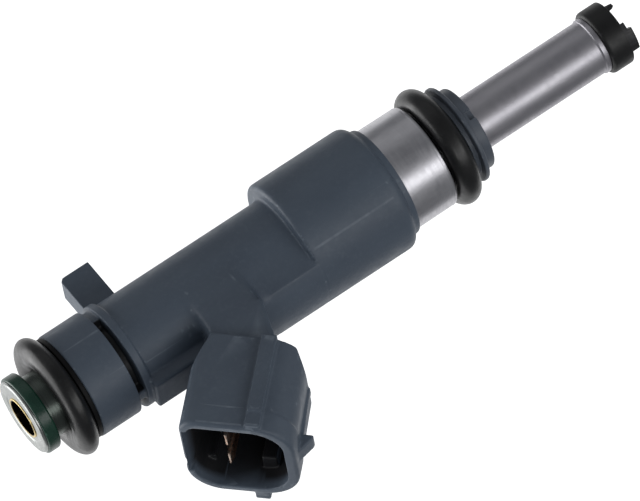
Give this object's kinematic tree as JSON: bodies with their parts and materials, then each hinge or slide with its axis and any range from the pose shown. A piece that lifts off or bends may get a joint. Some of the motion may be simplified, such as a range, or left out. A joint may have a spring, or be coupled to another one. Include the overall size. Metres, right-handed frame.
{
  "type": "fuel injector",
  "caption": "Top-feed port fuel injector with angled electrical connector, O-ring seals at both ends, steel coil housing and a long capped nozzle.",
  "frame": {"origin": "on the injector's axis at the centre of the lower (manifold) O-ring", "axes": "+Z along the axis towards the fuel inlet, +X towards the side the connector leans to, so the indexing lug is on -X"},
  "size_m": [0.035, 0.0161, 0.0806],
  "materials": {
    "overmould": "glass-filled nylon, slate grey",
    "turned_steel": "fine turned",
    "cup_steel": "drawn and brushed",
    "inner_steel": "ground",
    "spring_steel": "drawn wire",
    "seal_green": "moulded, semi gloss",
    "o_ring_rubber": "oiled",
    "spacer_black": "moulded",
    "cap_black": "moulded",
    "retainer_grey": "moulded",
    "filter_brass": "satin",
    "strainer_cloth": "fine woven nylon",
    "cage_plastic": "natural nylon",
    "bobbin_plastic": "moulded",
    "magnet_wire": "enamelled copper wire",
    "terminal_bronze": "tinned bronze"
  },
  "bodies": {
    "root": {"housing": "overmould", "inlet_tube": "turned_steel", "inlet_backup_ring": "seal_green", "upper_o_ring": "o_ring_rubber", "upper_spacer": "spacer_black", "filter_collar": "filter_brass", "filter_cage": "cage_plastic", "filter_mesh": "strainer_cloth", "adjusting_sleeve": "filter_brass", "return_spring": "spring_steel", "valve_seat": "inner_steel", "orifice_plate": "inner_steel", "nozzle_tube": "turned_steel", "valve_body": "inner_steel", "magnet_housing": "cup_steel", "flux_washer": "inner_steel", "isolating_sleeve": "inner_steel", "coil_bobbin": "bobbin_plastic", "coil_winding": "magnet_wire", "terminal_a": "terminal_bronze", "terminal_b": "terminal_bronze", "lower_o_ring": "o_ring_rubber", "retainer_ring": "retainer_grey", "nozzle_cap": "cap_black"},
    "valve": {"armature": "inner_steel", "needle_tube": "inner_steel", "valve_ball": "inner_steel"}
  },
  "joints": [
    {"name": "valve_lift", "type": "slide", "parent": "root", "child": "valve", "axis": [0, 0, 1], "range_m": [0, 0.0001], "stiffness_N_per_m": 2000, "springref_m": -0.002, "deforming": ["return_spring"]}
  ]
}
